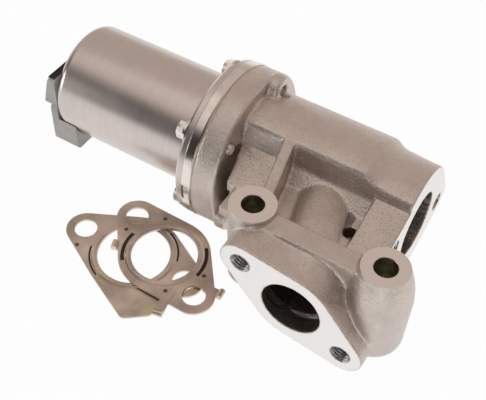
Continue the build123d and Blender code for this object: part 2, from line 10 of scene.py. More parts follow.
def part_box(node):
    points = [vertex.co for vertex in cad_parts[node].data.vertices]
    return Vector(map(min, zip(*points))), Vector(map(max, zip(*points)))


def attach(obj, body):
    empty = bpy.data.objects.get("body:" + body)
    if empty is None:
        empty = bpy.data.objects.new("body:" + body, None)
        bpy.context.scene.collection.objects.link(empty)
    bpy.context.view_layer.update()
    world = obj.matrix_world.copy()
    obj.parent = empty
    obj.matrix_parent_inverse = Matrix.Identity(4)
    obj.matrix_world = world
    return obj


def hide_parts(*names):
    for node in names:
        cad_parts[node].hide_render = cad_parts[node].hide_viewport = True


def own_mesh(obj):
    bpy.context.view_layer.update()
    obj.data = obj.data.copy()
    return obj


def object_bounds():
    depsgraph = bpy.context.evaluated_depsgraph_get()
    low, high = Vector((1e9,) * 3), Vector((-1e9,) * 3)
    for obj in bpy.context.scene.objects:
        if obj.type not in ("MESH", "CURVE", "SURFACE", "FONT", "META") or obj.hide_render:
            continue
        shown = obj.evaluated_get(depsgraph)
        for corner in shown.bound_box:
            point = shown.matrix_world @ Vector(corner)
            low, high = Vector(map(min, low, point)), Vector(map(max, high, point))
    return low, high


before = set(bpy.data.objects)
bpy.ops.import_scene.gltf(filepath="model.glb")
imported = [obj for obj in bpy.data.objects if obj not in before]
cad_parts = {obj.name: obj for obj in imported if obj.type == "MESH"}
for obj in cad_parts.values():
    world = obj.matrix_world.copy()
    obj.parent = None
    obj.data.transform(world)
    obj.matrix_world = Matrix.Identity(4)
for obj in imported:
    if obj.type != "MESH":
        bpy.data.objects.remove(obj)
cad_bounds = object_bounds()

bl_info = {
    "name": "EGR Valve",
    "version": (1, 0, 0),
    "blender": (4, 5, 0),
    "location": "View3D > Sidebar > EGR Valve",
    "description": "Dresses the packed EGR valve with its cast, machined, drawn and moulded finishes",
    "category": "Object",
}

MM = 0.001
CAN_LOW, CAN_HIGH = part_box("solenoid_can")
AXIS_Y = (CAN_LOW[1] + CAN_HIGH[1]) / 2
AXIS_Z = (CAN_LOW[2] + CAN_HIGH[2]) / 2
INLET_FACE_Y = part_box("body_casting")[0][1]
OUTLET_FACE_X = 50.5 * MM
OUTLET_RELIEF_Y = 11.7 * MM
RING_LEFT_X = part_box("body_casting")[0][0]
PLATE_LEFT_X = CAN_HIGH[0]
INLET_X = 28.0 * MM
BOSS_X = (0.0, 54.7 * MM)
CAP_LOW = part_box("end_cap")[0]
PLUG_TOP_X = (-117.6 * MM, -114.4 * MM)
PLUG_TOP_Y = (22.6 * MM, 48.0 * MM)
PLUG_TOP_Z = -10.7 * MM
SCREW_RADIUS = 29.9 * MM
SCREW_ANGLES = (66, 138, 210, 282, 354)
SHORT_SCREW_ANGLE = 138
RING_RIGHT_X = -24.5
SCREW_TIP = 3.4
SHORT_SCREW_TIP = 1.2
SHANK_RADIUS = 2.5
THREAD_START = 14.0
THREAD_DEPTH = 0.42
EJECTOR_MARK = (44.9 * MM, 18.0 * MM)
PASSAGE_SLOPE = math.tan(math.radians(12.8))
BOSS_LENGTH = 42.0 * MM
BOSS_FACE_RADIUS = 9.2 * MM
PORT_RADIUS = 12.4 * MM
PASSAGE_RADIUS = 12.15 * MM
PASSAGE_END_RADIUS = 13.5 * MM
CHAMBER_RADIUS = 20.0 * MM
FLANGE_HOLE_HALF_PITCH = 25.3 * MM
INLET_FLANGE_TILT = math.radians(28.9)
OUTLET_FLANGE_TILT = math.radians(20.0)
CUT_SKIN = 0.06 * MM
FEED_MARKS = 42000.0
BROAD_FEED_MARKS = 14000.0
WIRE_TURNS = 9000.0
RING_WARMTH = (0.98, 0.92, 0.89)
UPPER_SHEET_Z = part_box("outlet_gasket")[0][2] + 1.8 * MM
LOWER_SHEET_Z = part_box("outlet_gasket")[0][2]
GASKET_GROOVES = (((-41.2 * MM, -1.7 * MM, UPPER_SHEET_Z), -26.7, 18.2 * MM),
                  ((-53.4 * MM, -7.4 * MM, LOWER_SHEET_Z), -0.3, 19.6 * MM))
UPPER_RIVETS = ((-63.3, 0.6), (-52.3, 14.9), (-29.8, -17.5), (-20.5, -2.3))
RIVETS = tuple((x * MM, y * MM, UPPER_SHEET_Z + 1.0 * MM) for x, y in UPPER_RIVETS)
RIVETS += ((-77.1 * MM, -16.8 * MM, LOWER_SHEET_Z + 1.0 * MM),)


def colour_property(name, description, default):
    """Colour setting for one finish."""
    return bpy.props.FloatVectorProperty(name=name, description=description, default=default,
                                         subtype="COLOR", size=3, min=0.0, max=1.0)


def length_property(name, description, default):
    """Length setting in metres."""
    return bpy.props.FloatProperty(name=name, description=description, default=default,
                                   subtype="DISTANCE", unit="LENGTH", min=0.0, precision=5)


class ValveColours(bpy.types.PropertyGroup):
    """Colours of the valve's finishes."""

    casting: colour_property("Casting", "Blasted cast aluminium", (0.62, 0.545, 0.50))
    machined: colour_property("Machined", "Freshly cut aluminium", (0.86, 0.83, 0.81))
    drawn: colour_property("Can", "Drawn steel of the solenoid can", (0.65, 0.58, 0.545))
    polished: colour_property("Plate", "Polished adapter plate", (0.80, 0.74, 0.69))
    zinc: colour_property("Zinc", "Bright zinc of the screws", (0.80, 0.79, 0.76))
    sheet: colour_property("Gasket", "Rolled steel of the flange gaskets", (0.72, 0.60, 0.52))
    moulding: colour_property("Cap", "Moulded end cap", (0.60, 0.60, 0.59))
    # rubber also colours the dark sheet of painted shade on the plug's top.
    rubber: colour_property("Rubber", "Black seals and the plug latch", (0.022, 0.021, 0.020))
    copper: colour_property("Winding", "Enamelled copper wire", (0.62, 0.24, 0.10))
    bronze: colour_property("Bush", "Sintered bronze", (0.55, 0.36, 0.18))
    iron: colour_property("Iron", "Turned magnetic iron", (0.42, 0.41, 0.40))
    hot_steel: colour_property("Valve steel", "Heat-resisting stem and poppet", (0.36, 0.34, 0.32))
    spool: colour_property("Spool", "Natural moulded plastic", (0.55, 0.50, 0.38))
    board: colour_property("Board", "Coated circuit board", (0.04, 0.12, 0.06))
    tin: colour_property("Terminals", "Tinned terminals", (0.74, 0.72, 0.66))


class ValveSizes(bpy.types.PropertyGroup):
    """Sizes of the details that the solids leave out."""

    voxel: length_property("Casting grid", "Grid that rounds the cast edges", 0.5 * MM)
    rounding: bpy.props.IntProperty(name="Rounding", description="Passes that round the cast edges",
                                    default=5, min=0, max=40)
    tap_core: length_property("Tap core", "Core radius of the flange threads", 3.4 * MM)
    tap_major: length_property("Tap major", "Major radius of the flange threads", 4.0 * MM)
    tap_pitch: length_property("Tap pitch", "Pitch of the flange threads", 1.25 * MM)
    tap_depth: length_property("Tap depth", "Depth of the flange threads", 13.0 * MM)
    boss_bore: length_property("Boss bore", "Radius of the bores through the bosses", 4.5 * MM)
    screw_pitch: length_property("Screw pitch", "Pitch of the flange screws", 0.8 * MM)
    # latch is the thickness of the dark sheet of painted shade on the plug's top.
    latch: length_property("Latch", "Thickness of the plug latch", 0.5 * MM)
    mouth_slant: bpy.props.FloatProperty(name="Mouth slant", description="Slope of the plug's mouth",
                                         default=0.24)


class ValveStage(bpy.types.PropertyGroup):
    """Camera, light and floor."""

    lens: bpy.props.FloatProperty(name="Lens", description="Focal length on a 36 mm sensor",
                                  default=68.168)
    camera: bpy.props.FloatVectorProperty(name="Camera", description="Place of the camera",
                                          default=(0.108751, -0.197550, 0.256341),
                                          subtype="TRANSLATION", size=3, precision=6)
    key: bpy.props.FloatProperty(name="Key", description="Power of the overhead lamp", default=1.2)
    fill: bpy.props.FloatProperty(name="Fill", description="Power of the front lamp", default=2.4)
    side: bpy.props.FloatProperty(name="Side", description="Power of the low left lamp", default=3.0)
    sky: bpy.props.FloatProperty(name="Sky", description="Strength of the room light", default=0.60)
    room: colour_property("Room", "Warm light of the room", (1.0, 0.87, 0.79))
    front_shade: bpy.props.FloatProperty(name="Front shade", description="Room light low down in front",
                                         default=0.06)
    floor: colour_property("Floor", "Plain pale floor", (0.93, 0.93, 0.93))
    floor_glow: bpy.props.FloatProperty(name="Floor glow",
                                        description="Share of plain white in the floor",
                                        default=0.97, min=0.0, max=1.0)


class ValveSettings(bpy.types.PropertyGroup):
    """All settings of the valve."""

    colours: bpy.props.PointerProperty(type=ValveColours)
    sizes: bpy.props.PointerProperty(type=ValveSizes)
    stage: bpy.props.PointerProperty(type=ValveStage)


def settings():
    """The valve's settings in this scene."""
    return bpy.context.scene.egr_valve


class Wire:
    """An output of a node. Sums written with wires add their Math nodes."""

    def __init__(self, paint, node, output=0):
        self.paint = paint
        self.node = node
        self.socket = pick(node.outputs, output)

    def also(self, output):
        """Another output of the same node."""
        return Wire(self.paint, self.node, output)

    def maths(self, operation, *values):
        return self.paint.node("ShaderNodeMath", {"operation": operation}, dict(enumerate(values)))

    def sine(self):
        return self.maths("SINE", self)

    def unsigned(self):
        return self.maths("ABSOLUTE", self)

    def __add__(self, other):
        return self.maths("ADD", self, other)

    def __radd__(self, other):
        return self.maths("ADD", other, self)

    def __sub__(self, other):
        return self.maths("SUBTRACT", self, other)

    def __rsub__(self, other):
        return self.maths("SUBTRACT", other, self)

    def __mul__(self, other):
        return self.maths("MULTIPLY", self, other)

    def __rmul__(self, other):
        return self.maths("MULTIPLY", other, self)

    def __pow__(self, other):
        return self.maths("POWER", self, other)

    def __lt__(self, other):
        return self.maths("LESS_THAN", self, other)

    def __gt__(self, other):
        return self.maths("GREATER_THAN", self, other)


def pick(sockets, key):
    """Socket by its place, or by its identifier or name."""
    if isinstance(key, int):
        return sockets[key]
    for socket in sockets:
        if key in (socket.identifier, socket.name):
            return socket
    raise KeyError(key)


class Paint:
    """The node tree of one material, or of the world."""

    def __init__(self, owner, coordinates="Object"):
        self.owner = owner
        owner.use_nodes = True
        self.tree = owner.node_tree
        self.tree.nodes.clear()
        self.place = self.node("ShaderNodeTexCoord", {}, {}, coordinates)
        self.x = self.node("ShaderNodeSeparateXYZ", {}, {0: self.place}, "X")
        self.y = self.x.also("Y")
        self.z = self.x.also("Z")

    def node(self, kind, choices, values, output=0):
        """A node with its settings made first, then its sockets set or linked."""
        node = self.tree.nodes.new(kind)
        for name, choice in choices.items():
            setattr(node, name, choice)
        for key, value in values.items():
            socket = pick(node.inputs, key)
            if isinstance(value, Wire):
                self.tree.links.new(value.socket, socket)
            else:
                socket.default_value = value
        return Wire(self, node, output) if node.outputs else node

    def noise(self, scale, detail=2.0, roughness=0.5, stretch=None):
        place = self.place
        if stretch:
            place = self.node("ShaderNodeVectorMath", {"operation": "MULTIPLY"}, {0: place, 1: stretch})
        return self.node("ShaderNodeTexNoise", {}, {"Vector": place, "Scale": scale, "Detail": detail,
                                                    "Roughness": roughness}, "Fac")

    def mix(self, factor, first, second):
        values = {"Factor_Float": factor, "A_Color": rgba(first), "B_Color": rgba(second)}
        return self.node("ShaderNodeMix", {"data_type": "RGBA"}, values, "Result_Color")

    def fade(self, value, low, high):
        """0 below low and 1 above high."""
        return self.node("ShaderNodeMapRange", {"clamp": True},
                         {"Value": value, "From Min": low, "From Max": high}, "Result")

    def either(self, *masks):
        """1 where any of the masks is 1."""
        return self.fade(sum(masks[1:], masks[0]), 0.0, 1.0)

    def from_line(self, first, second, first_centre, second_centre):
        """Distance from a line along the third axis."""
        one = first - first_centre
        two = second - second_centre
        return (one * one + two * two) ** 0.5

    def finish(self, **values):
        """Principled surface, with an optional bump height in metres."""
        height = values.pop("height", None)
        depth = values.pop("depth", 1.0)
        named = {key.replace("_", " "): value for key, value in values.items()}
        if height is not None:
            bump = {"Strength": 1.0, "Distance": depth, "Height": height}
            named["Normal"] = self.node("ShaderNodeBump", {}, bump, "Normal")
        surface = self.node("ShaderNodeBsdfPrincipled", {}, named)
        self.node("ShaderNodeOutputMaterial", {}, {"Surface": surface})
        return self.owner


def rgba(value):
    """Wire as it is, or a colour with full alpha."""
    if isinstance(value, Wire):
        return value
    return (*value, 1.0)


def tinted(colour, factor):
    """Colour made lighter or darker."""
    return tuple(min(1.0, part * factor) for part in colour)


def warmed(colour, factors):
    """Colour with its red, green and blue each scaled."""
    return tuple(part * factor for part, factor in zip(colour, factors))


def cast_aluminium(name):
    """Blasted casting, with cut faces on the flanges and bosses, and painted shade darkening the bores
    and the passages inside.
    """
    colours = settings().colours
    paint = Paint(bpy.data.materials.new(name))
    x, y, z = paint.x, paint.y, paint.z
    inlet = y < INLET_FACE_Y + CUT_SKIN
    outlet = (x > OUTLET_FACE_X - CUT_SKIN) * (y > OUTLET_RELIEF_Y)
    near_bosses = y < 9.6 * MM
    boss_faces = (z > -CUT_SKIN) * near_bosses
    cut = paint.either(inlet, outlet, boss_faces)
    left = paint.from_line(x, y, BOSS_X[0], 0.0)
    right = paint.from_line(x, y, BOSS_X[1], 0.0)
    bored = paint.either(left < 4.75 * MM, right < 4.75 * MM) * (z < -0.1 * MM)

    mottle = paint.noise(90.0, 4.0, 0.6)
    patches = paint.noise(320.0, 3.0, 0.6)
    grain = paint.noise(1300.0, 2.0, 0.55)
    cells = paint.node("ShaderNodeTexVoronoi", {"feature": "F1"},
                       {"Vector": paint.place, "Scale": 850.0}, "Distance")
    specks = paint.fade(cells, 0.24, 0.10)
    cast = colours.casting
    base = paint.mix(paint.fade(mottle, 0.35, 0.65), tinted(cast, 0.93), tinted(cast, 1.06))
    base = paint.mix(paint.fade(patches, 0.4, 0.7) * 0.35, base, tinted(cast, 1.18))
    base = paint.mix(specks * 0.6, base, tinted(cast, 1.7))
    base = paint.mix(paint.fade(grain, 0.6, 0.75) * 0.35, base, tinted(cast, 0.72))

    lathe_left = (left * FEED_MARKS).sine()
    lathe_right = (right * FEED_MARKS).sine()
    milling = paint.noise(420.0, 3.0, 0.6, (1.0, 1.0, 7.0))
    fresh = colours.machined
    bright = paint.mix(paint.fade(milling, 0.35, 0.7), tinted(fresh, 0.98), tinted(fresh, 1.06))
    ring_colour = warmed(colours.machined, RING_WARMTH)
    lathe = paint.fade(lathe_left + lathe_right, -1.2, 1.2)
    ring_tone = paint.mix(lathe, tinted(ring_colour, 0.94), ring_colour)
    cut_tone = paint.mix(boss_faces, bright, ring_tone)
    tone = paint.mix(cut, base, cut_tone)
    # Painted shade: the boss bores below their faces are painted dark olive.
    tone = paint.mix(bored, tone, (0.30, 0.27, 0.20))
    # Painted shade: the chamber, the inlet passage and the port are painted dark inside, as the shade of
    # these hollows.
    from_axis = paint.from_line(y, z, AXIS_Y, AXIS_Z)
    chamber = (from_axis < CHAMBER_RADIUS) * (x > -10 * MM) * (x < OUTLET_FACE_X - 0.3 * MM)
    from_face = y - INLET_FACE_Y
    from_passage = paint.from_line(x + from_face * PASSAGE_SLOPE, z, INLET_X, AXIS_Z)
    duct = (from_passage < PASSAGE_RADIUS) * (from_face > 8.0 * MM)
    duct_end = (from_passage < PASSAGE_END_RADIUS) * (from_face > 16.0 * MM) * (z < -10 * MM)
    port = (paint.from_line(x, z, INLET_X, AXIS_Z) < PORT_RADIUS) * (from_face > 0.3 * MM)
    painted_shade_inside = paint.either(chamber, duct, duct_end, port)
    tone = paint.mix(painted_shade_inside, tone, (0.24, 0.215, 0.195))
    rough_cast = 0.34 + 0.12 * patches
    rough_cut = 0.34 + 0.06 * milling
    roughness = rough_cast * (1.0 - cut) + rough_cut * cut
    mark = paint.from_line(x, y, EJECTOR_MARK[0], EJECTOR_MARK[1])
    mark_ring = (mark < 4.15 * MM) * (mark > 3.75 * MM) * (z > -14 * MM)
    height = (grain + specks * 0.8 + patches * 0.9 - mark_ring * 2.0) * (1.0 - cut)
    height = height + (lathe_left + lathe_right) * boss_faces * 0.05
    return paint.finish(Base_Color=tone, Roughness=roughness, Metallic=0.92, height=height,
                        depth=0.18 * MM)


def thread_steel(name, colour, dark):
    """Cut thread in the given colour, darkened in random patches by the dark factor: painted shade."""
    paint = Paint(bpy.data.materials.new(name))
    shade = paint.noise(700.0, 2.0)
    tone = paint.mix(paint.fade(shade, 0.3, 0.7), tinted(colour, dark), colour)
    return paint.finish(Base_Color=tone, Roughness=0.32 + 0.12 * shade, Metallic=0.95)


def drawn_steel(name):
    """Satin drawn can, with fine rings round it and faint handling marks."""
    colour = settings().colours.drawn
    paint = Paint(bpy.data.materials.new(name))
    rings = paint.noise(900.0, 3.0, 0.7, (1.0, 0.02, 0.02))
    cloud = paint.noise(55.0, 3.0, 0.55)
    fine = paint.noise(4200.0, 2.0, 0.5)
    tone = paint.mix(paint.fade(rings, 0.35, 0.65) * 0.5, tinted(colour, 0.93), tinted(colour, 1.07))
    warm = tinted(warmed(colour, (1.0, 0.95, 0.94)), 1.12)
    tone = paint.mix(paint.fade(cloud, 0.45, 0.7) * 0.35, tone, warm)
    roughness = 0.24 + 0.06 * rings + 0.05 * cloud
    return paint.finish(Base_Color=tone, Roughness=roughness, Metallic=0.96,
                        height=fine * 0.5 + rings * 0.3, depth=0.02 * MM)


def polished_steel(name):
    """Ground and polished plate with fine lines."""
    colour = settings().colours.polished
    paint = Paint(bpy.data.materials.new(name))
    lines = paint.noise(1600.0, 3.0, 0.7, (1.0, 0.03, 0.03))
    cloud = paint.noise(160.0, 2.0)
    tone = paint.mix(paint.fade(cloud, 0.4, 0.7), colour, tinted(colour, 0.82))
    return paint.finish(Base_Color=tone, Roughness=0.13 + 0.10 * lines, Metallic=1.0, height=lines,
                        depth=0.01 * MM)


def turned_steel(name, colour, roughness=0.3):
    """Turned or ground part: fine grooves across its axis and a little staining."""
    paint = Paint(bpy.data.materials.new(name))
    grooves = paint.noise(2600.0, 2.0, 0.6, (1.0, 0.05, 0.05))
    stain = paint.noise(210.0, 3.0, 0.6)
    tone = paint.mix(paint.fade(stain, 0.4, 0.75) * 0.6, colour, tinted(colour, 0.68))
    return paint.finish(Base_Color=tone, Roughness=roughness + 0.12 * grooves, Metallic=0.95,
                        height=grooves, depth=0.015 * MM)


def zinc_plate(name):
    """Bright zinc with a faint bloom."""
    colour = settings().colours.zinc
    paint = Paint(bpy.data.materials.new(name))
    bloom = paint.noise(380.0, 3.0, 0.6)
    dull = tinted(warmed(colour, (1.0, 0.98, 0.9)), 0.84)
    tone = paint.mix(paint.fade(bloom, 0.4, 0.7) * 0.6, colour, dull)
    return paint.finish(Base_Color=tone, Roughness=0.16 + 0.14 * bloom, Metallic=1.0)


def gasket_steel(name, warmth):
    """Rolled sheet with heat-tinted patches and rolling lines."""
    colour = settings().colours.sheet
    paint = Paint(bpy.data.materials.new(name))
    rolling = paint.noise(900.0, 3.0, 0.65, (1.0, 0.08, 1.0))
    cloud = paint.noise(48.0, 3.0, 0.55)
    tint = paint.noise(75.0, 2.0, 0.5)
    tone = paint.mix(paint.fade(cloud, 0.38, 0.62), tinted(colour, 0.66), tinted(colour, 1.14))
    olive = (0.58, 0.54, 0.32)
    tone = paint.mix(paint.fade(tint, 0.50, 0.72) * warmth, tone, olive)
    tone = paint.mix(paint.fade(rolling, 0.45, 0.7) * 0.18, tone, tinted(colour, 1.35))
    roughness = 0.22 + 0.12 * cloud + 0.06 * rolling
    return paint.finish(Base_Color=tone, Roughness=roughness, Metallic=0.92, height=rolling,
                        depth=0.012 * MM)


def moulded_plastic(name, colour, roughness=0.42):
    """Moulded part with a fine spark-eroded grain and faint flow lines."""
    paint = Paint(bpy.data.materials.new(name))
    grain = paint.noise(2600.0, 2.0, 0.5)
    flow = paint.noise(60.0, 3.0, 0.6, (1.0, 1.0, 2.6))
    tone = paint.mix(paint.fade(flow, 0.35, 0.7), tinted(colour, 0.88), tinted(colour, 1.10))
    tone = paint.mix(paint.fade(grain, 0.55, 0.75) * 0.25, tone, tinted(colour, 1.35))
    return paint.finish(Base_Color=tone, Roughness=roughness + 0.14 * grain, Metallic=0.0, height=grain,
                        depth=0.03 * MM)


def seal_rubber(name):
    """Matt moulded rubber with a trace of talc."""
    colour = settings().colours.rubber
    paint = Paint(bpy.data.materials.new(name))
    talc = paint.noise(420.0, 4.0, 0.65)
    tone = paint.mix(paint.fade(talc, 0.55, 0.8) * 0.5, colour, (0.09, 0.088, 0.085))
    return paint.finish(Base_Color=tone, Roughness=0.62 + 0.2 * talc, height=talc, depth=0.02 * MM)


def copper_winding(name):
    """Layered enamelled wire: close turns side by side along the valve axis."""
    colour = settings().colours.copper
    paint = Paint(bpy.data.materials.new(name))
    turn = (paint.x * WIRE_TURNS).sine()
    shade = paint.noise(300.0, 2.0)
    # Painted shade: the low part of each turn's bump, between the turns, is painted much darker.
    tone = paint.mix(paint.fade(turn, -1.0, 0.4), tinted(colour, 0.35), colour)
    tone = paint.mix(paint.fade(shade, 0.4, 0.7) * 0.4, tone, tinted(colour, 1.4))
    return paint.finish(Base_Color=tone, Roughness=0.25 + 0.1 * shade, Metallic=0.8, height=turn,
                        depth=0.08 * MM)


def circuit_board(name):
    """Coated board with a printed resistor track along it."""
    colour = settings().colours.board
    paint = Paint(bpy.data.materials.new(name))
    weave = paint.noise(2400.0, 2.0)
    offset = (paint.y - AXIS_Y).unsigned()
    track = (offset < 2.1 * MM) * (offset > 0.9 * MM)
    tone = paint.mix(paint.fade(weave, 0.4, 0.6), tinted(colour, 0.8), tinted(colour, 1.2))
    tone = paint.mix(track, tone, (0.02, 0.02, 0.022))
    return paint.finish(Base_Color=tone, Roughness=0.35 + 0.2 * weave, height=track, depth=0.02 * MM)


def dress(node_name, material):
    """Gives a solid of the frame its finish."""
    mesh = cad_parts[node_name].data
    paint_mesh(mesh, material)
    for polygon in mesh.polygons:
        polygon.material_index = 0


def add_piece(name, points, faces, material, body, smooth_angle=40.0):
    """New mesh piece that rides on a body."""
    mesh = bpy.data.meshes.new(name)
    mesh.from_pydata([tuple(point) for point in points], [], [tuple(face) for face in faces])
    mesh.update()
    mesh.shade_smooth()
    mesh.set_sharp_from_angle(angle=math.radians(smooth_angle))
    mesh.materials.append(material)
    piece = bpy.data.objects.new(name, mesh)
    bpy.context.scene.collection.objects.link(piece)
    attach(piece, body)
    return piece


def copy_of(node_name, name):
    """New object with its own copy of a solid's mesh."""
    piece = bpy.data.objects.new(name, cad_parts[node_name].data.copy())
    bpy.context.scene.collection.objects.link(piece)
    return piece


def paint_mesh(mesh, material):
    """Leaves one material on a mesh."""
    mesh.materials.clear()
    mesh.materials.append(material)


def ring_faces(count, rows, start=0):
    """Quads of a tube with count points in each of its rows."""
    faces = []
    for row in range(rows - 1):
        for i in range(count):
            j = (i + 1) % count
            a = start + row * count
            faces.append((a + i, a + j, a + count + j, a + count + i))
    return faces


def modifier_result(piece):
    """Mesh of a piece with its modifiers applied."""
    graph = bpy.context.evaluated_depsgraph_get()
    return bpy.data.meshes.new_from_object(piece.evaluated_get(graph))


def axis_point(distance, angle, along):
    """Point at a distance from the valve axis."""
    return (along, AXIS_Y + distance * math.cos(angle), AXIS_Z + distance * math.sin(angle))


def flange_frames():
    """Centre, ear direction and outward normal of the two flanges."""
    inlet_ears = Vector((math.cos(INLET_FLANGE_TILT), 0, -math.sin(INLET_FLANGE_TILT)))
    outlet_ears = Vector((0, math.cos(OUTLET_FLANGE_TILT), -math.sin(OUTLET_FLANGE_TILT)))
    return (
        (Vector((INLET_X, INLET_FACE_Y, AXIS_Z)), inlet_ears, Vector((0, -1, 0))),
        (Vector((OUTLET_FACE_X, AXIS_Y, AXIS_Z)), outlet_ears, Vector((1, 0, 0))),
    )


def tapped_holes():
    """Mouth centre and outward normal of the four tapped holes."""
    holes = []
    for centre, ears, outward in flange_frames():
        holes.append((centre + ears * FLANGE_HOLE_HALF_PITCH, outward))
        holes.append((centre - ears * FLANGE_HOLE_HALF_PITCH, outward))
    return holes


def vertex_array(mesh):
    """Places of a mesh's points as rows of X, Y and Z."""
    points = np.empty(len(mesh.vertices) * 3)
    mesh.vertices.foreach_get("co", points)
    return points.reshape(-1, 3)


def held_casting_points(points):
    """How far each point of the casting may move along X, Y and Z while the cast edges are rounded."""
    x, y, z = points.T
    near = 0.3 * MM
    free = np.ones_like(points)
    free[y < INLET_FACE_Y + near, 1] = 0
    free[(x > OUTLET_FACE_X - near) & (y > OUTLET_RELIEF_Y), 0] = 0
    free[x < RING_LEFT_X + near, 0] = 0
    for boss_x in BOSS_X:
        from_boss = np.hypot(x - boss_x, y)
        free[(z > -near) & (from_boss < 9.8 * MM), 2] = 0
        free[from_boss < 5.2 * MM] = 0
    from_axis = np.hypot(y - AXIS_Y, z - AXIS_Z)
    free[(from_axis < 24.6 * MM) & (x < -5 * MM)] = 0
    free[(from_axis < 14.9 * MM) & (x > 30 * MM)] = 0
    from_port = np.hypot(x - INLET_X, z - AXIS_Z)
    free[(from_port < 12.7 * MM) & (y < INLET_FACE_Y + 8.5 * MM)] = 0
    return free


def round_edges(mesh, passes):
    """Rounds the cast edges and corners and leaves the cut faces and bores as they are."""
    points = vertex_array(mesh)
    edges = np.empty(len(mesh.edges) * 2, dtype=np.int64)
    mesh.edges.foreach_get("vertices", edges)
    first, second = edges.reshape(-1, 2).T
    count = np.bincount(first, minlength=len(points)) + np.bincount(second, minlength=len(points))
    free = held_casting_points(points)
    for _ in range(passes):
        middle = np.empty_like(points)
        for axis in range(3):
            total = np.bincount(first, points[second, axis], len(points))
            total += np.bincount(second, points[first, axis], len(points))
            middle[:, axis] = total / np.maximum(count, 1)
        points += (middle - points) * free * 0.6
    return points


def open_tapped_holes(points, radius, depth):
    """Widens the four tapped holes so that the thread pieces fit."""
    for mouth, outward in tapped_holes():
        outward = np.array(outward)
        offset = points - np.array(mouth)
        along = offset @ outward
        across = offset - np.outer(along, outward)
        distance = np.linalg.norm(across, axis=1)
        inside = (distance < radius) & (distance > 1.2 * MM)
        inside &= (along < 0.2 * MM) & (along > -depth - 0.3 * MM)
        points[inside] += across[inside] * (radius / distance[inside] - 1)[:, None]
    return points


def open_boss_bores(points, radius):
    """Widens the two boss bores so that their turned mouths fit."""
    for boss_x in BOSS_X:
        across = points[:, :2] - (boss_x, 0.0)
        distance = np.hypot(*across.T)
        inside = (distance < radius) & (distance > 1.0 * MM)
        points[inside, :2] += across[inside] * (radius / distance[inside] - 1)[:, None]
    return points


def cast_skin():
    """Copy of the casting with a close grid, rounded cast edges and opened tapped holes."""
    sizes = settings().sizes
    skin = copy_of("body_casting", "casting_skin")
    remesh = skin.modifiers.new("grid", "REMESH")
    remesh.mode = "VOXEL"
    coarse = 1.0
    remesh.voxel_size = sizes.voxel * coarse
    mesh = modifier_result(skin)
    points = round_edges(mesh, round(sizes.rounding / coarse ** 2))
    points = open_tapped_holes(points, sizes.tap_major + 0.12 * MM, sizes.tap_depth)
    points = open_boss_bores(points, sizes.boss_bore + 0.5 * MM)
    low, high = (np.array(corner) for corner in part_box("body_casting"))
    mesh.vertices.foreach_set("co", np.clip(points, low, high).ravel())
    mesh.update()
    skin.modifiers.clear()
    skin.data = mesh
    thin = skin.modifiers.new("thin", "DECIMATE")
    thin.ratio = 0.45
    mesh = modifier_result(skin)
    skin.modifiers.clear()
    skin.data = mesh
    mesh.shade_smooth()
    mesh.set_sharp_from_angle(angle=math.radians(38.0))
    return skin


class VALVE_OT_casting(bpy.types.Operator):
    """Cast body with rounded cast edges and bright cut faces"""

    bl_idname = "valve.casting"
    bl_label = "Cast body"

    def execute(self, context):
        material = cast_aluminium("cast_aluminium")
        skin = cast_skin()
        paint_mesh(skin.data, material)
        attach(skin, "housing")
        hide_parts("body_casting")
        return {"FINISHED"}


def thread_points(mouth, outward, sizes, hand):
    """Rows of points down one tapped hole, from its countersink to its floor."""
    side = outward.orthogonal().normalized()
    other = outward.cross(side)
    count = 40
    steps_per_turn = 10
    rows = int(sizes.tap_depth / sizes.tap_pitch * steps_per_turn)
    cone = 0.7 * MM
    points = []
    for row in range(-1, rows):
        depth = max(row, 0) * sizes.tap_pitch / steps_per_turn
        for i in range(count):
            angle = math.tau * i / count
            turn = (depth / sizes.tap_pitch + hand * i / count) % 1.0
            groove = 1 - abs(2 * turn - 1)
            fade = min(1.0, depth / cone)
            radius = sizes.tap_core + (sizes.tap_major - sizes.tap_core) * groove
            radius = max(radius, sizes.tap_core + cone - depth) if fade < 1 else radius
            if row < 0:
                radius = sizes.tap_major + 0.25 * MM
            place = mouth - outward * (depth + 0.01 * MM)
            points.append(place + (side * math.cos(angle) + other * math.sin(angle)) * radius)
    return points, count, rows + 1


def turned_boss(name):
    """Faced and bored boss: fine rings on its top, and its bore painted dark olive as shade, with lighter
    olive patches as painted highlights.
    """
    ring_colour = warmed(settings().colours.machined, RING_WARMTH)
    paint = Paint(bpy.data.materials.new(name))
    rings = paint.noise(300.0, 2.0, 0.5)
    left = paint.from_line(paint.x, paint.y, BOSS_X[0], 0.0)
    right = paint.from_line(paint.x, paint.y, BOSS_X[1], 0.0)
    lathe = (left * BROAD_FEED_MARKS).sine() + (right * BROAD_FEED_MARKS).sine()
    lines = paint.fade(lathe + rings, -1.2, 1.8)
    tone = paint.mix(lines, tinted(ring_colour, 0.95), tinted(ring_colour, 1.02))
    # Painted shade and painted highlights: below the face the bore is dark olive, with lighter olive
    # patches from noise.
    bore = paint.mix(paint.fade(rings, 0.35, 0.65), (0.26, 0.24, 0.16), (0.55, 0.50, 0.34))
    tone = paint.mix(paint.z < -0.25 * MM, tone, bore)
    return paint.finish(Base_Color=tone, Roughness=0.34 + 0.08 * rings, Metallic=0.9, height=lathe,
                        depth=0.008 * MM)


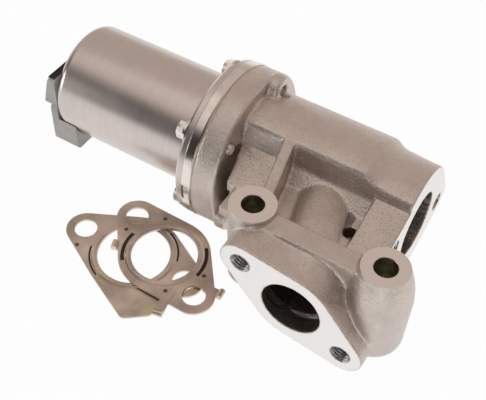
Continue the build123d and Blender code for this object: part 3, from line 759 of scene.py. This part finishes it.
class VALVE_OT_bosses(bpy.types.Operator):
    """Faced and bored mouths of the two mounting bosses"""

    bl_idname = "valve.bosses"
    bl_label = "Boss faces"

    def execute(self, context):
        bore = settings().sizes.boss_bore
        lift = 0.02 * MM
        rim = BOSS_FACE_RADIUS
        rows = ((rim, -0.1 * MM), (rim, lift), (bore + 0.2 * MM, lift), (bore, -0.2 * MM),
                (bore, lift - BOSS_LENGTH), (bore + 0.45 * MM, lift - BOSS_LENGTH))
        count = 72
        points, faces = [], []
        for boss_x in BOSS_X:
            start = len(points)
            for radius, z in rows:
                for i in range(count):
                    angle = math.tau * i / count
                    points.append((boss_x + radius * math.cos(angle), radius * math.sin(angle), z))
            faces += ring_faces(count, len(rows), start)
        material = turned_boss("turned_boss")
        add_piece("boss_mouths", points, faces, material, "housing", 25.0)
        return {"FINISHED"}


class VALVE_OT_threads(bpy.types.Operator):
    """Threads in the four tapped flange holes"""

    bl_idname = "valve.threads"
    bl_label = "Flange threads"

    def execute(self, context):
        # Painted shade: the threads are painted far darker than the cut metal, as the shade inside the
        # tapped holes.
        material = thread_steel("cut_thread_painted_shade", tinted(settings().colours.machined, 0.62), 0.4)
        points, faces = [], []
        for mouth, outward in tapped_holes():
            rows_points, count, rows = thread_points(mouth, outward, settings().sizes, -1)
            start = len(points)
            points += rows_points
            faces += ring_faces(count, rows, start)
            faces.append(tuple(start + (rows - 1) * count + i for i in range(count)))
        add_piece("flange_threads", points, faces, material, "housing", 25.0)
        return {"FINISHED"}


def screw_rows(sizes, tip):
    """Rows of one flange screw in millimetres: distance along it, radius and kind."""
    rows = [(-4.6, 0.0, "round"), (-4.3, 1.9, "round"), (-4.6, 2.5, "round"), (-4.6, 3.5, "round"),
            (-4.2, 4.25, "hex"), (-1.5, 4.3, "hex"), (-1.2, 4.3, "hex"), (-1.15, 4.7, "round"),
            (-0.35, 4.8, "round"), (0.0, 4.75, "round"), (0.0, 2.5, "round")]
    along = THREAD_START
    rows.append((along, SHANK_RADIUS, "round"))
    while along < tip - 0.6:
        along += sizes.screw_pitch / MM / 8
        rows.append((along, SHANK_RADIUS, "thread"))
    rows += [(tip - 0.3, 2.1, "round"), (tip, 1.8, "round"), (tip, 0.0, "round")]
    return rows


def screw_radius(radius, kind, angle, along, pitch):
    """Radius of the screw at an angle: flats on the head, a groove on the thread."""
    if kind == "hex":
        flat = radius * math.cos(math.radians(30))
        turn = (angle + math.radians(30)) % math.radians(60) - math.radians(30)
        return min(radius, flat / math.cos(turn))
    if kind == "thread":
        turn = (along / pitch - angle / math.tau) % 1.0
        return radius - THREAD_DEPTH * (1 - abs(2 * turn - 1))
    return radius


class VALVE_OT_screws(bpy.types.Operator):
    """Five hexagon screws with washer faces and threaded tips"""

    bl_idname = "valve.screws"
    bl_label = "Flange screws"

    def execute(self, context):
        sizes = settings().sizes
        material = zinc_plate("bright_zinc")
        head_x = (PLATE_LEFT_X - 3.6 * MM) / MM
        count = 48
        points, faces = [], []
        for degrees in SCREW_ANGLES:
            centre = axis_point(SCREW_RADIUS, math.radians(degrees), 0.0)
            tip = RING_RIGHT_X + (SHORT_SCREW_TIP if degrees == SHORT_SCREW_ANGLE else SCREW_TIP) - head_x
            rows = screw_rows(sizes, tip)
            start = len(points)
            for along, radius, kind in rows:
                for i in range(count):
                    angle = math.tau * i / count
                    reach = screw_radius(radius, kind, angle, along, sizes.screw_pitch / MM) * MM
                    points.append(((head_x + along) * MM, centre[1] + reach * math.cos(angle),
                                   centre[2] + reach * math.sin(angle)))
            faces += ring_faces(count, len(rows), start)
        piece = add_piece("hex_flange_screws", points, faces, material, "housing", 30.0)
        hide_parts("flange_screws")
        return {"FINISHED"}


class VALVE_OT_solenoid(bpy.types.Operator):
    """Solenoid can, adapter plate, gasket and seals"""

    bl_idname = "valve.solenoid"
    bl_label = "Solenoid can and plate"

    def execute(self, context):
        dress("solenoid_can", drawn_steel("drawn_steel"))
        dress("adapter_plate", polished_steel("polished_steel"))
        dress("body_gasket", gasket_steel("gasket_edge", 0.1))
        rubber = seal_rubber("seal_rubber")
        for name in ("can_o_ring", "cap_seal", "stem_seal"):
            dress(name, rubber)
        return {"FINISHED"}


class VALVE_OT_inner(bpy.types.Operator):
    """Valve, guide, seat, coil, sensor and springs inside the housing"""

    bl_idname = "valve.inner"
    bl_label = "Inner pieces"

    def execute(self, context):
        colours = settings().colours
        hot = turned_steel("valve_steel", colours.hot_steel)
        for name in ("valve_seat", "poppet", "valve_stem", "stem_shield", "armature_sleeve"):
            dress(name, hot)
        iron = turned_steel("magnet_iron", colours.iron, 0.35)
        for name in ("pole_piece", "flux_washer", "armature"):
            dress(name, iron)
        dress("guide_bush", turned_steel("sintered_bronze", colours.bronze, 0.38))
        spring = turned_steel("spring_wire", colours.zinc, 0.22)
        closing_spring(spring)
        dress("sensor_spring", spring)
        dress("coil_winding", copper_winding("copper_winding"))
        spool = moulded_plastic("natural_plastic", colours.spool, 0.4)
        dress("coil_bobbin", spool)
        dress("sensor_plunger", spool)
        dress("sensor_board", circuit_board("circuit_board"))
        return {"FINISHED"}


def closing_spring(material):
    """Return spring, as its own copy of the solid, riding on the housing."""
    spring = copy_of("return_spring", "closing_spring")
    paint_mesh(spring.data, material)
    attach(spring, "housing")
    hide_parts("return_spring")
    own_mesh(spring)


def slanted_cap(material):
    """End cap whose plug mouth is cut at a slant, longest at its foot."""
    cap = copy_of("end_cap", "plug_cap")
    points = vertex_array(cap.data)
    foot_z = points[points[:, 0] < CAP_LOW[0] + 0.1 * MM, 2].min()
    rim = points[:, 0] < CAP_LOW[0] + 1.0 * MM
    points[rim, 0] += (points[rim, 2] - foot_z) * settings().sizes.mouth_slant
    cap.data.vertices.foreach_set("co", points.ravel())
    paint_mesh(cap.data, material)
    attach(cap, "housing")
    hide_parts("end_cap")


def plug_top_shade_sheet(material):
    """Dark plate with a ramp on top of the plug: a sheet of painted shade on the plug's top face."""
    thick = settings().sizes.latch
    left, right = PLUG_TOP_X
    front, back = PLUG_TOP_Y
    ramp = 0.7 * MM
    outline = [(left, 0.0), (right, 0.0), (right, thick), (left + 2 * ramp, thick),
               (left + ramp, 2.2 * thick), (left, 0.6 * thick)]
    points = [(x, y, PLUG_TOP_Z + z) for y in (front, back) for x, z in outline]
    count = len(outline)
    faces = ring_faces(count, 2) + [tuple(reversed(range(count))), tuple(range(count, 2 * count))]
    add_piece("plug_top_shade_sheet", points, faces, material, "housing", 20.0)


class VALVE_OT_cap(bpy.types.Operator):
    """Moulded end cap with its plug housing and terminals, and a dark sheet of painted shade on the
    plug's top
    """

    bl_idname = "valve.cap"
    bl_label = "End cap"

    def execute(self, context):
        colours = settings().colours
        plastic = moulded_plastic("cap_plastic", colours.moulding)
        slanted_cap(plastic)
        # Painted shade: a dark sheet lies on the plug's top face.
        plug_top_shade_sheet(seal_rubber("plug_top_shade"))
        dress("sensor_housing", plastic)
        dress("connector_terminals", turned_steel("tin_plate", colours.tin, 0.2))
        return {"FINISHED"}


def groove_shade_sheets():
    """Dark sheets of painted shade lying in the four relief grooves beside the gasket beads."""
    points, faces = [], []
    steps = 24
    for centre, turn, radius in GASKET_GROOVES:
        for start in (200, 20):
            first = len(points)
            for i in range(steps + 1):
                angle = math.radians(turn + start - 1 + 52 * i / steps)
                for reach, height in ((-1, 0.3), (1, 0.3), (1, 0.7), (-1, 0.7)):
                    along = radius + reach * MM
                    points.append((centre[0] + along * math.cos(angle),
                                   centre[1] + along * math.sin(angle), centre[2] + height * MM))
            faces += ring_faces(4, steps + 1, first)
            faces.append((first + 3, first + 2, first + 1, first))
            last = first + 4 * steps
            faces.append((last, last + 1, last + 2, last + 3))
    # Painted shade: the near-black sheets stand for the shade in the grooves.
    material = turned_steel("groove_shade", (0.07, 0.06, 0.055), 0.45)
    add_piece("gasket_groove_shade", points, faces, material, "housing", 30.0)


def stacking_rivets():
    """Small pressed points that hold the layers of the gaskets together."""
    points, faces = [], []
    count = 12
    rows = ((0.95, 0.0), (0.9, 0.14), (0.6, 0.24), (0.2, 0.28))
    for x, y, top in RIVETS:
        first = len(points)
        for radius, height in rows:
            reach = radius * MM
            for i in range(count):
                angle = math.tau * i / count
                points.append((x + reach * math.cos(angle), y + reach * math.sin(angle),
                               top + height * MM))
        faces += ring_faces(count, len(rows), first)
        faces.append(tuple(first + (len(rows) - 1) * count + i for i in range(count)))
    material = turned_steel("rivet_shade", (0.16, 0.13, 0.115), 0.35)
    add_piece("gasket_rivets", points, faces, material, "housing", 60.0)


class VALVE_OT_gaskets(bpy.types.Operator):
    """The two loose flange gaskets"""

    bl_idname = "valve.gaskets"
    bl_label = "Flange gaskets"

    def execute(self, context):
        dress("inlet_gasket", gasket_steel("gasket_sheet", 0.35))
        dress("outlet_gasket", gasket_steel("gasket_sheet_tinted", 0.85))
        # Painted shade: dark sheets in the gasket grooves.
        groove_shade_sheets()
        stacking_rivets()
        return {"FINISHED"}


def add_lamp(name, place, target, size, power):
    """Soft square lamp aimed at a target."""
    light = bpy.data.lights.new(name, "AREA")
    light.shape = "SQUARE"
    light.size = size
    light.energy = power
    lamp = bpy.data.objects.new(name, light)
    bpy.context.scene.collection.objects.link(lamp)
    direction = Vector(target) - Vector(place)
    turn = direction.to_track_quat("-Z", "Y").to_matrix().to_4x4()
    lamp.matrix_world = Matrix.Translation(Vector(place)) @ turn


def add_camera(stage):
    """Camera at the photograph's viewing angle."""
    data = bpy.data.cameras.new("photo_camera")
    data.sensor_fit = "HORIZONTAL"
    data.sensor_width = 36.0
    data.lens = stage.lens
    data.clip_start = 0.01
    data.clip_end = 20.0
    camera = bpy.data.objects.new("photo_camera", data)
    bpy.context.scene.collection.objects.link(camera)
    right = Vector((0.85164, 0.523405, 0.027517))
    up = Vector((-0.407565, 0.628317, 0.662653))
    back = right.cross(up)
    turn = Matrix((right, up, back)).transposed().to_4x4()
    camera.matrix_world = Matrix.Translation(Vector(stage.camera)) @ turn
    bpy.context.scene.camera = camera


def add_floor(stage):
    """Plain floor, white to the camera and in reflections, with a trace of shadow."""
    floor_z = cad_bounds[0][2] - 0.02 * MM
    radius = 8.0
    count = 64
    angles = [math.tau * i / count for i in range(count)]
    points = [(radius * math.cos(angle), radius * math.sin(angle), floor_z) for angle in angles]
    paint = Paint(bpy.data.materials.new("pale_floor"))
    cloud = paint.noise(3.0, 1.0)
    tone = paint.mix(cloud, tinted(stage.floor, 0.998), stage.floor)
    surface = paint.node("ShaderNodeBsdfPrincipled", {}, {"Base Color": tone, "Roughness": 0.9,
                                                          "Specular IOR Level": 0.0})
    white = paint.node("ShaderNodeEmission", {}, {"Color": (1.0, 1.0, 1.0, 1.0), "Strength": 1.0})
    ray = paint.node("ShaderNodeLightPath", {}, {}, "Is Camera Ray")
    seen = (ray + ray.also("Is Glossy Ray") + ray.also("Is Transmission Ray")) * stage.floor_glow
    both = paint.node("ShaderNodeMixShader", {}, {0: seen, 1: surface, 2: white})
    paint.node("ShaderNodeOutputMaterial", {}, {"Surface": both})
    mesh = bpy.data.meshes.new("floor")
    mesh.from_pydata(points, [], [tuple(range(count))])
    mesh.materials.append(paint.owner)
    floor = bpy.data.objects.new("floor", mesh)
    bpy.context.scene.collection.objects.link(floor)


def light_room(stage):
    """Room light: even above and behind, darker low down in front, and plain white to the camera."""
    paint = Paint(bpy.data.worlds.new("room"), "Generated")
    low = paint.fade(paint.z, 0.88, 0.50)
    front = paint.fade(paint.y, 0.10, -0.20)
    tone = paint.mix(low * front, stage.room, tinted(stage.room, stage.front_shade))
    background = paint.node("ShaderNodeBackground", {}, {"Color": tone, "Strength": stage.sky})
    white = paint.node("ShaderNodeBackground", {}, {"Color": (1.0, 1.0, 1.0, 1.0), "Strength": 1.0})
    seen = paint.node("ShaderNodeLightPath", {}, {}, "Is Camera Ray")
    both = paint.node("ShaderNodeMixShader", {}, {0: seen, 1: background, 2: white})
    paint.node("ShaderNodeOutputWorld", {}, {"Surface": both})
    bpy.context.scene.world = paint.owner


class VALVE_OT_stage(bpy.types.Operator):
    """Pale floor, soft light and the camera"""

    bl_idname = "valve.stage"
    bl_label = "Stage"

    def execute(self, context):
        stage = settings().stage
        add_floor(stage)
        centre = (-0.02, 0.02, -0.02)
        add_lamp("overhead_lamp", (-0.42, -0.36, 1.15), centre, 1.1, stage.key)
        add_lamp("front_lamp", (0.5, -1.3, 0.25), centre, 0.7, stage.fill)
        add_lamp("side_lamp", (-1.15, -0.8, 0.16), centre, 0.5, stage.side)
        light_room(stage)
        context.scene.view_settings.view_transform = "Standard"
        add_camera(stage)
        return {"FINISHED"}


class VALVE_PT_panel(bpy.types.Panel):
    """Lists the valve's settings and builders"""

    bl_idname = "VALVE_PT_panel"
    bl_label = "EGR Valve"
    bl_space_type = "VIEW_3D"
    bl_region_type = "UI"
    bl_category = "EGR Valve"

    def draw(self, context):
        valve = context.scene.egr_valve
        for group in (valve.colours, valve.sizes, valve.stage):
            box = self.layout.box()
            for name in group.__annotations__:
                box.prop(group, name)
        for operator in OPERATORS:
            self.layout.operator(operator.bl_idname)


OPERATORS = (VALVE_OT_casting, VALVE_OT_bosses, VALVE_OT_threads, VALVE_OT_solenoid, VALVE_OT_screws,
             VALVE_OT_inner, VALVE_OT_cap, VALVE_OT_gaskets, VALVE_OT_stage)
CLASSES = (ValveColours, ValveSizes, ValveStage, ValveSettings, *OPERATORS, VALVE_PT_panel)


def register():
    for item in CLASSES:
        bpy.utils.register_class(item)
    bpy.types.Scene.egr_valve = bpy.props.PointerProperty(type=ValveSettings)


def unregister():
    del bpy.types.Scene.egr_valve
    for item in reversed(CLASSES):
        bpy.utils.unregister_class(item)


def main():
    register()
    bpy.ops.valve.casting()
    bpy.ops.valve.bosses()
    bpy.ops.valve.threads()
    bpy.ops.valve.solenoid()
    bpy.ops.valve.screws()
    bpy.ops.valve.inner()
    bpy.ops.valve.cap()
    bpy.ops.valve.gaskets()
    bpy.ops.valve.stage()


if __name__ == "__main__":
    main()
